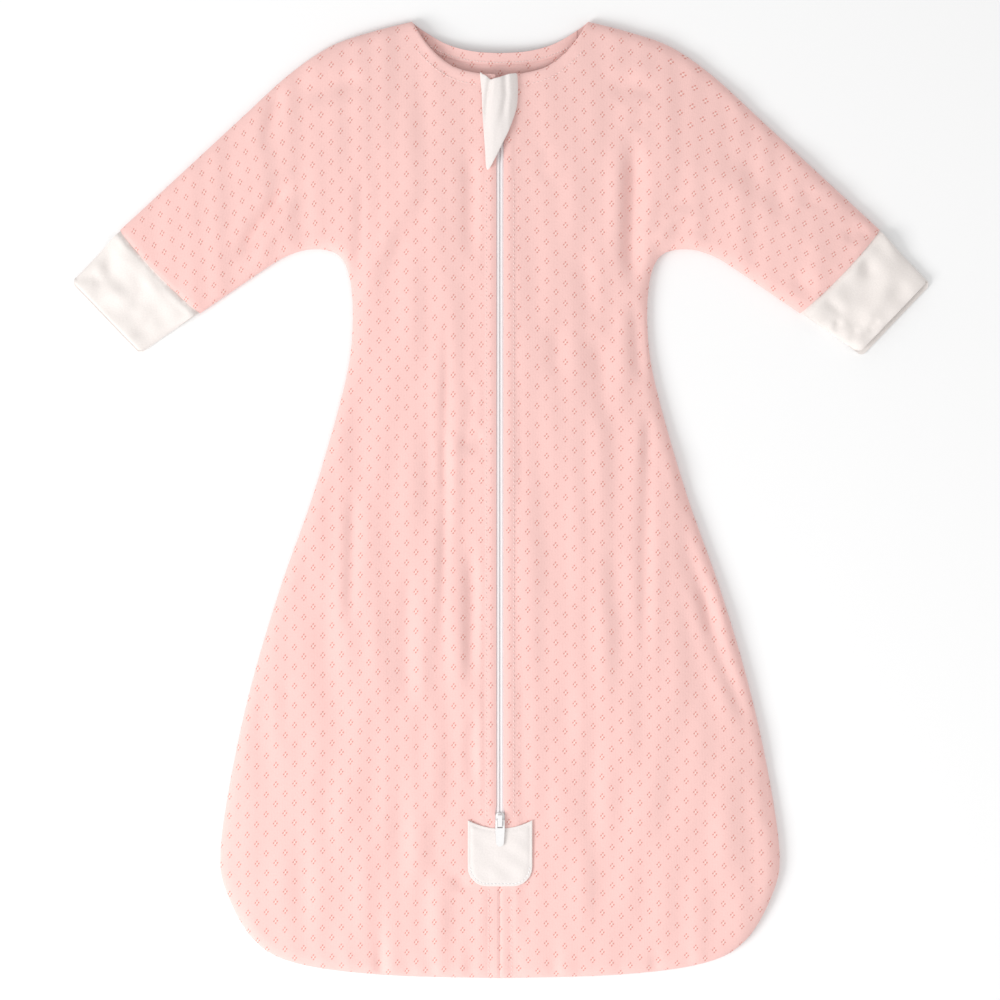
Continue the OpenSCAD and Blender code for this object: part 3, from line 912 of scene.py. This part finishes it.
front_loop = front_outline()
for side, sign in SIDES.items():
    front = cloth(f"{side}_front_cloth", front_loop * [sign, 1], front_height, pink_knit)
    held(front, [f"front_{side}_panel", f"{side}_flap_panel"], "bag", f"{side}_front", opening_weight)
    loop = bowed(sleeve_loops[side], side)
    for layer, height in (("front", front_height), ("back", back_height)):
        sleeve = cloth(f"{side}_sleeve_{layer}_cloth", loop, height, pink_knit,
                       up=layer == "front")
        held(sleeve, [f"{side}_sleeve_{layer}"], "bag", f"{side}_sleeve", sleeve_weights[side])


# ---------------- seam allowances and facings

def beside(line, away, closed=True):
    """A line to the right of another, at a distance."""
    heading = np.roll(line, -1, 0) - np.roll(line, 1, 0) if closed else np.gradient(line, axis=0)
    heading /= np.hypot(*heading.T)[:, None]
    return line + away * np.column_stack([heading[:, 1], -heading[:, 0]])


def inset(loop, width):
    """The loop, moved inwards."""
    return beside(clockwise(loop), width)


def flange(node, height, *bend):
    """A strip of folded cloth inside the bag, in place of its CAD solid, which it hides."""
    strip = cloth(f"{node}_strip", inset(outline(node), 0.7 * MM), height, pink_shaded_knit,
                  spacing=5 * MM, thickness=1.1 * MM, rows=(), trim=True)
    held(strip, [node], "bag", *bend)


def seam_height(points):
    """The allowances lie level, inside the edges that they join."""
    return np.full(len(points), SEAM_Z + 0.6 * MM)


def under_front(gap):
    """The height of what lies under the front, at a gap below it."""
    def height(points):
        return front_height(points) - CLOTH - gap
    return height


flange("centre_seam", under_front(0.3 * MM))
for side in SIDES:
    flange(f"{side}_side_seam", seam_height)
    flange(f"{side}_shoulder_seam", seam_height)
    for edge in ("upper", "under"):
        flange(f"{side}_sleeve_{edge}_seam", seam_height, f"{side}_sleeve", sleeve_weights[side])
    facing = cloth(f"{side}_neck_facing_cloth", inset(outline(f"{side}_neck_facing"), 0.5 * MM),
                   under_front(0.1 * MM), pink_shaded_knit, rows=(), trim=True)
    held(facing, [f"{side}_neck_facing"], "bag")


def facing_height(points):
    """Top of the facing that lies on the inside of the back, at the neck."""
    return back_height(points) + CLOTH + 0.5 * MM


back_facing = cloth("back_neck_facing_cloth", inset(outline("back_neck_facing"), 0.2 * MM), facing_height,
                    pink_knit, spacing=1.8 * MM, thickness=0.4 * MM, rows=(0.7,), trim=True)
held(back_facing, ["back_neck_facing"], "bag")


# ---------------- cuffs

CUFF_OVERLAP = 1.6 * MM     # the cuff goes this far under the end of the sleeve
CUFF_SEAM_Z = 3.4 * MM      # height of the edges along a cuff's side seams
HEM_SHOWING = {"left": 1.4 * MM, "right": 3.6 * MM}     # the back of each cuff stands out past its front
HEM_START = 30 * MM         # the back grows longer from here on
CUFF_REACH = {side: past_cuff(cuff_loops[side], side).max() for side in SIDES}
CUFF_FOLDS = {
    "left": [
        ([(-282, 186), (-286, 172), (-286, 156)], 1.3, 4),
        ([(-276, 188), (-258, 170), (-238, 148)], 1.5, 3),
        ([(-258, 162), (-262, 152), (-269, 138)], 1.1, 4.5),
        ([(-310, 160), (-298, 164), (-286, 156)], 1.2, 4),
        ([(-296, 142), (-282, 150), (-270, 148)], -1.0, 5),
        ([(-252, 138), (-260, 126), (-272, 118)], 0.9, 4),
    ],
    "right": [
        ([(262, 182), (268, 172), (272, 160)], 1.3, 5),
        ([(247, 133), (247, 128), (244, 122)], 1.5, 2.4),
        ([(262, 126), (258, 120), (254, 116)], 1.5, 2.6),
        ([(278, 132), (274, 128), (268, 122)], 1.5, 3),
        ([(288, 172), (280, 152), (270, 134)], -1.1, 5),
        ([(302, 172), (296, 162), (290, 150)], 0.9, 5),
        ([(236, 146), (244, 142), (252, 134)], 0.8, 3),
    ],
}


def cuff_sides(side):
    """The two ends of each of a cuff's side seams, which run between the sleeve and the cuff's mouth."""
    loop = cuff_loops[side]
    reach = past_cuff(loop, side)
    edges = zip(loop, np.roll(loop, -1, 0), reach, np.roll(reach, -1))
    return [(a, b) for a, b, reach_a, reach_b in edges if abs(reach_a - reach_b) > 0.5 * reach.max()]


def cuff_place(points, side):
    """How far each point lies past the cuff's fold line, and from the nearest side seam."""
    sides = cuff_sides(side)
    away = distance(points, [a for a, b in sides], [2 * b - a for a, b in sides])
    return past_cuff(points, side), away


def cuff_back_height(points, side):
    """Outer surface of the back of a cuff, which is tucked into the sleeve."""
    reach, away = cuff_place(points, side)
    turn = 1 - rounded_rise(away, 5 * MM)
    tucked = 1 - smooth((reach + 0.5 * MM) / (3 * MM))
    return FLOOR_GAP + (CUFF_SEAM_Z - FLOOR_GAP) * turn + (CLOTH + 0.1 * MM) * tucked


def cuff_front_height(points, side):
    """Top surface of a cuff: it starts as high as the sleeve, and its seam puckers it."""
    reach, away = cuff_place(points, side)
    past_seam = reach - bow(points, side)
    rise = rounded_rise(away, 7 * MM)
    z = CUFF_SEAM_Z + 3.4 * MM * rise + 1.8 * MM * (1 - np.exp(-away / (20 * MM)))
    z += (front_height(points) - z) * (1 - smooth(reach / (26 * MM)))
    shape = creased(points, CUFF_FOLDS[side], 0.35, 0.35) + 0.5 * MM * ripple(points, 0.035, 0.035, 11)
    z += rise * smooth(past_seam / (7 * MM)) * shape
    z -= 1.15 * MM * (1 - smooth((past_seam - 0.2 * MM) / (3 * MM)))
    z -= groove(past_seam - 5 * MM, 0.5 * MM, 2 * MM) * smooth(away / (5 * MM))
    return z + turned_down(CUFF_REACH[side] - reach, 0.9 * MM, 0.8 * MM)


def cuff_loop(side, back):
    """The outline of one layer of a cuff, from under the end of the sleeve to its mouth."""
    loop = divided(cuff_loops[side], 1.5 * MM)
    reach = past_cuff(loop, side)
    shift = -CUFF_OVERLAP * (reach < 1 * MM)
    if back:
        shift += HEM_SHOWING[side] * smooth((reach - HEM_START) / (CUFF_REACH[side] - HEM_START))
    return loop + cuff_outward(side) * shift[:, None]


def cuff_rolls(side):
    """The folded seams inside a cuff: a soft roll beside each of its side seams."""
    rolls = []
    for a, b in cuff_sides(side):
        inner = cuff_loops[side].mean(0) - (a + b) / 2
        inner -= (b - a) * (inner @ (b - a)) / ((b - a) @ (b - a))
        inner /= np.linalg.norm(inner)
        path = divided(np.array([a, b]) + inner * 1.7 * MM, 3 * MM, closed=False)
        rolls.append(tube(np.column_stack([path, np.full(len(path), 4.1 * MM)]), 0.9 * MM, sides=8))
    return gathered(rolls)


for side in SIDES:
    for layer, height in (("front", cuff_front_height), ("back", cuff_back_height)):
        loop = cuff_loop(side, layer == "back")
        cuff = cloth(f"{side}_cuff_{layer}_cloth", loop, partial(height, side=side), jersey,
                     up=layer == "front", spacing=1.8 * MM)
        held(cuff, [f"{side}_cuff_{layer}"], f"{side}_sleeve", f"{side}_cuff", cuff_weights[side])
    seam = mesh_object(f"{side}_cuff_seam_rolls", *cuff_rolls(side))
    seam.data.materials.append(jersey_plain)
    held(seam, [f"{side}_cuff_seams"], f"{side}_sleeve", f"{side}_cuff", cuff_weights[side])


# ---------------- zip

tape_low, tape_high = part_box("right_zip_tape")
coil_low, coil_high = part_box("right_zip_coil")
ZIP_GAP = 0.16 * MM     # from the middle of the zip to the rounded edge of each tape
TAPE_THICK = 0.45 * MM
COIL_PITCH, COIL_WIRE, COIL_STEPS = 1.3 * MM, 0.24 * MM, 8


def extruded(profile, ys, mirrored):
    """A closed profile, given as places across and up, drawn along the bag."""
    across, up = np.array(profile).T
    if mirrored:
        across = -across
    rings = [np.column_stack([across, np.full(len(profile), y), up]) for y in ys]
    faces = ring_faces(len(ys), len(profile))
    return np.concatenate(rings), faces if mirrored else [face[::-1] for face in faces]


def tape_profile():
    """Across and up, from the rounded edge beside the other tape out to the tape's plain edge."""
    rib_middle = (ZIP_GAP + coil_high.x) / 2
    rib_half = (coil_high.x - ZIP_GAP) / 2
    rib_foot = tape_low.z + 0.3 * MM
    rib = [(rib_middle - rib_half * math.cos(a), rib_foot + (tape_high.z - rib_foot) * math.sin(a))
           for a in np.linspace(0, 0.86 * math.pi, 9)]
    return [(rib[0][0], tape_low.z), *rib, (tape_high.x, tape_low.z + TAPE_THICK), (tape_high.x, tape_low.z)]


def coil(side):
    """One side of the teeth: a wire wound round and round under the edge of its tape."""
    low, high = span("zip_coil_lower_ends")[0], span("zip_coil_upper_ends")[1]
    at = np.arange(int((high - low) / COIL_PITCH * COIL_STEPS) + 1) / COIL_STEPS
    turn = 2 * math.pi * at
    reach = coil_high.x / 2 - COIL_WIRE
    x = coil_high.x / 2 - reach * np.cos(turn)
    offset = COIL_PITCH / 2 if side == "left" else 0
    rise = (coil_high.z - coil_low.z) / 2 - COIL_WIRE
    middle_z = (coil_low.z + coil_high.z) / 2
    path = [SIDES[side] * x, low + offset + COIL_PITCH * at, middle_z + rise * np.sin(turn)]
    return tube(np.column_stack(path), COIL_WIRE, sides=5)


tape_ys = np.arange(span("zip_tape_lower_ends")[0], span("zip_tape_upper_ends")[1], 2.5 * MM)
for side, ends in (("left", "upper"), ("right", "lower")):
    vertices, faces = extruded(tape_profile(), tape_ys, mirrored=side == "left")
    tape = mesh_object(f"{side}_zip_tape_band", vertices, faces, uv=vertices[:, :2])
    tape.data.materials.append(tape_weave)
    teeth = mesh_object(f"{side}_zip_teeth", *coil(side))
    teeth.data.materials.append(coil_nylon)
    for piece, word in ((tape, "tape"), (teeth, "coil")):
        nodes = [f"{side}_zip_{word}", f"zip_{word}_{ends}_ends"]
        held(piece, nodes, "bag", f"{side}_front", opening_weight)


# ---------------- chin guard and patch

guard_low, guard_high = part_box("chin_guard")
guard_corner = np.array([guard_low.x, guard_high.y])
# The guard's edge, in millimetres from its hinge line and from its top, clockwise from its top corner
GUARD_EDGE = [
    (0.5, -1.2), (2.4, -1.8), (5.2, -3.4), (8.3, -5.8), (11.5, -5.4), (15.2, -4.4), (19.8, -2.6),
    (24.6, -1.6), (27.2, -1.6), (27.9, -6), (28.1, -14.5), (27.4, -25), (24.7, -34.5), (21.1, -44),
    (17.4, -51.5), (13.2, -60), (9, -68), (6.6, -71.4), (4.9, -69.4), (4.1, -57), (2.4, -33), (1.6, -15),
]
GUARD_FOLDS = [
    ([(8.2, -4), (5.6, -20), (4.2, -36), (4.6, -52)], 1.5, 1.6),
    ([(18.6, -2), (19.6, -18), (17, -32), (14, -44)], 0.9, 1.9),
    ([(13, -4), (12.6, -24), (10, -48)], -0.7, 3),
]
# Its arch: millimetres across from its hinge line, and up from the cloth
GUARD_ARCH = [(0, 0.9), (1.6, 1.3), (5, 2.9), (10, 4.9), (16, 5.3), (21.5, 4.8), (25.5, 2.8), (28.5, 0.8)]
PATCH_ROW = 1.9 * MM    # from the patch's edge to its row of stitches


def rounded(loop, steps=4):
    """A smooth closed curve through the points."""
    loop = np.asarray(loop, float)
    before, after, later = np.roll(loop, 1, 0), np.roll(loop, -1, 0), np.roll(loop, -2, 0)
    points = []
    for t in np.arange(steps) / steps:
        points.append(0.5 * (2 * loop + (after - before) * t
                             + (2 * before - 5 * loop + 4 * after - later) * t ** 2
                             + (3 * loop - before - 3 * after + later) * t ** 3))
    return np.stack(points, 1).reshape(-1, 2)


def guard_height(points):
    """An arch over the zip, with the soft folds of its gathered top."""
    across, up = np.array(GUARD_ARCH).T * MM
    z = cloth_top + np.interp(points[:, 0] - guard_low.x, across, up)
    z += creased(points - guard_corner, GUARD_FOLDS, 0, 0.5, bank=0.3, bank_at=2, bank_width=1)
    rim = distance(points, guard_loop, np.roll(guard_loop, -1, 0))
    return z + turned_down(rim, 0.5 * MM, 0.5 * MM)


def patch_height(points):
    """The patch lies on the front, and its row of stitches draws it in."""
    rim = distance(points, patch_loop, np.roll(patch_loop, -1, 0))
    z = cloth_top + 0.95 * MM + turned_down(rim, 0.5 * MM, 0.9 * MM)
    z += groove(rim - PATCH_ROW, 0.45 * MM, 0.7 * MM)
    return z + 0.25 * MM * ripple(points, 0.03, 0.03, 21) * smooth(rim / (6 * MM))


guard_loop = rounded(GUARD_EDGE) * MM + guard_corner
guard = cloth("chin_guard_cloth", guard_loop, guard_height, white_jersey,
              spacing=1.1 * MM, rows=(0.35, 0.9))
held(guard, ["chin_guard"], "bag", "guard", lambda points: smooth((points[:, 0] - guard_low.x) / (3.5 * MM)))

patch_loop = clockwise(outline("zip_patch"))
patch = cloth("zip_patch_cloth", patch_loop, patch_height, white_jersey,
              spacing=1.3 * MM, rows=(0.4, 1.0, 1.8, 2.6))
held(patch, ["zip_patch"], "bag")


# ---------------- stitches

def row_below(line, away):
    """Where a row of stitches runs, below a neckline."""
    return beside(divided(line, 2 * MM, closed=False), away, closed=False)


def upright(x, node):
    """A straight line at that x, as long as a node."""
    return np.array([(x, y) for y in span(node)])


def sewn(row, slot, nodes, *bend):
    """Holds a row of stitches on the bag and hides the CAD nodes that it stands for. The slot is not used."""
    held(row, nodes, "bag", *bend)


patch_row = inset(patch_loop, PATCH_ROW)
patch_row = turned_to(patch_row, patch_row[np.argmax(patch_row[:, 0] + patch_row[:, 1])])
patch_row = patch_row[patch_row[:, 1] < span("zip_patch_stitching")[1]]
row = stitches("zip_patch_stitches", patch_row, patch_height, white_thread, 2.6 * MM, 0.8, 0.32 * MM)
sewn(row, "white_thread", ["zip_patch_stitching"])

back_row = row_below(np.vstack([back_neck_points[::-1] * [-1, 1], back_neck_points[1:]]), 7 * MM)
back_row = back_row[np.abs(back_row[:, 0]) < neck_corner[0] - 12 * MM]
row = stitches("back_neck_stitches", back_row, facing_height, pink_thread, pitch=2.4 * MM, radius=0.34 * MM)
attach(row, "bag")

neck_row = row_below(np.vstack([neck_points[:1] * [0, 1], neck_points]), NECK_ROW)
neck_row = neck_row[(neck_row[:, 0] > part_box("right_neck_stitching")[0].x)
                    & (neck_row[:, 0] < neck_corner[0] - 4 * MM)]
for side, sign in SIDES.items():
    ends = side == "right"      # the rows on the right also stand for what the CAD holds in one piece
    row = stitches(f"{side}_neck_stitches", neck_row * [sign, 1], front_height, pink_thread)
    sewn(row, "pink_thread", [f"{side}_neck_stitching"])
    line = upright(sign * placket_row, "placket_stitching_ends")
    row = stitches(f"{side}_placket_stitches", line, front_height, pink_thread)
    nodes = [f"{side}_placket_stitching"] + ends * ["placket_stitching_ends"]
    sewn(row, "pink_thread", nodes, f"{side}_front", opening_weight)
    line = upright(sign * (CENTRE_ROW + 0.05 * MM), "centre_stitching")
    row = stitches(f"{side}_centre_stitches", line, front_height, pink_thread)
    sewn(row, "pink_thread", ends * ["centre_stitching"])


# ---------------- materials of the CAD pieces that stay

def repaint(node, material):
    """Gives a CAD piece a better material."""
    piece = frame["nodes"][node]
    if not piece.material_slots:
        piece.data.materials.append(material)
    for place in piece.material_slots:
        place.material = material


for node in ("slider_body", "slider_crown", "pull_tab"):
    repaint(node, enamel)
for node in ("zip_top_stops", "zip_bottom_stop"):
    repaint(node, coil_nylon)


# ---------------- stage, light and camera

def floor_plane():
    """A wide pale floor, just under the bag."""
    bpy.ops.mesh.primitive_plane_add(size=30, location=(0, 0, -0.2 * MM))
    floor = bpy.context.object
    floor.name = "floor"
    graph = Graph("pale_floor", roughness=0.9)
    tone = graph.mix(graph.noise(graph.place(), 3.0), (0.93, 0.93, 0.93, 1), (0.94, 0.94, 0.94, 1))
    floor.data.materials.append(graph.finish(tone))
    floor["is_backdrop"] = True


def area_light(name, place, size, power):
    """A soft light that faces the bag."""
    light = bpy.data.lights.new(name, "AREA")
    light.size = size
    light.energy = power
    lamp = bpy.data.objects.new(name, light)
    lamp.location = place
    lamp.rotation_euler = (-Vector(place)).to_track_quat("-Z", "Y").to_euler()
    bpy.context.scene.collection.objects.link(lamp)


def camera(height):
    """A long lens straight above the bag."""
    lens = bpy.data.cameras.new("camera")
    lens.lens = 85
    lens.sensor_width = 36
    view = bpy.data.objects.new("camera", lens)
    view.location = (0, 0, height)
    bpy.context.scene.collection.objects.link(view)
    bpy.context.scene.camera = view


def sky(strength):
    """Even white light from all round."""
    world = bpy.data.worlds.new("studio")
    world.use_nodes = True
    background = world.node_tree.nodes["Background"]
    background.inputs["Color"].default_value = (1, 1, 1, 1)
    background.inputs["Strength"].default_value = strength
    bpy.context.scene.world = world


floor_plane()
camera(height=1.732)
sky(strength=0.67)
area_light("window_light", (-1.9, -1.1, 1.5), size=1.2, power=46)
area_light("fill_light", (0.6, -1.0, 2.2), size=2.0, power=8)
bpy.context.scene.view_settings.view_transform = "Standard"

visual_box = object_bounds()
[[list(corner) for corner in box] for box in (cad_box, visual_box)]
